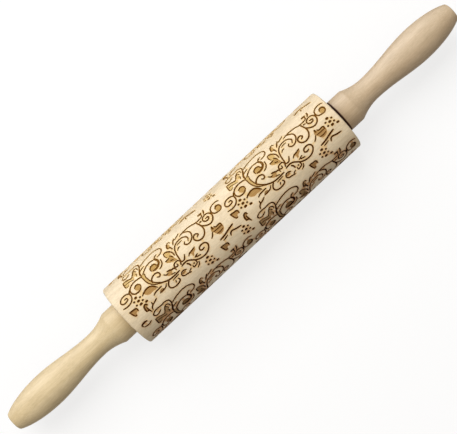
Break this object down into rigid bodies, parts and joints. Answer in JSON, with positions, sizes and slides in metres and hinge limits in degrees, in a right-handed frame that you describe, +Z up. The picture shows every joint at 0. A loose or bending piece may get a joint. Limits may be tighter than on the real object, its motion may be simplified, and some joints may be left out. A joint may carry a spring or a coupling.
{
  "type": "embossed rolling pin",
  "caption": "Wooden rolling pin: a scroll-carved barrel turning on a steel axle in flanged bushes, between two turned handles fixed on the axle.",
  "frame": {"origin": "middle of the axle, which is the centre of the whole pin", "axes": "+X along the axle from the left handle to the right handle (the one at the upper right in the picture), +Z up, the pin lying on its barrel"},
  "size_m": [0.4266, 0.0504, 0.0504],
  "materials": {
    "barrel_wood": "smooth oiled beech, carved lines burnt brown",
    "left_handle_wood": "smooth turned hardwood, slightly yellow",
    "right_handle_wood": "smooth turned hardwood, slightly pink",
    "axle_steel": "drawn steel rod",
    "washer_steel": "stamped steel washer",
    "bush_nylon": "moulded natural nylon"
  },
  "bodies": {
    "handles_and_axle": {"axle_rod": "axle_steel", "left_handle": "left_handle_wood", "right_handle": "right_handle_wood"},
    "washers": {"left_thrust_washer": "washer_steel", "right_thrust_washer": "washer_steel"},
    "barrel": {"barrel": "barrel_wood", "left_bush": "bush_nylon", "right_bush": "bush_nylon"}
  },
  "joints": [
    {"name": "barrel_end_float", "type": "slide", "parent": "handles_and_axle", "child": "washers", "axis": [1, 0, 0], "range_m": [0, 0.002]},
    {"name": "barrel_spin", "type": "hinge", "parent": "washers", "child": "barrel", "pos_m": [0, 0, 0], "axis": [1, 0, 0], "continuous": true}
  ]
}
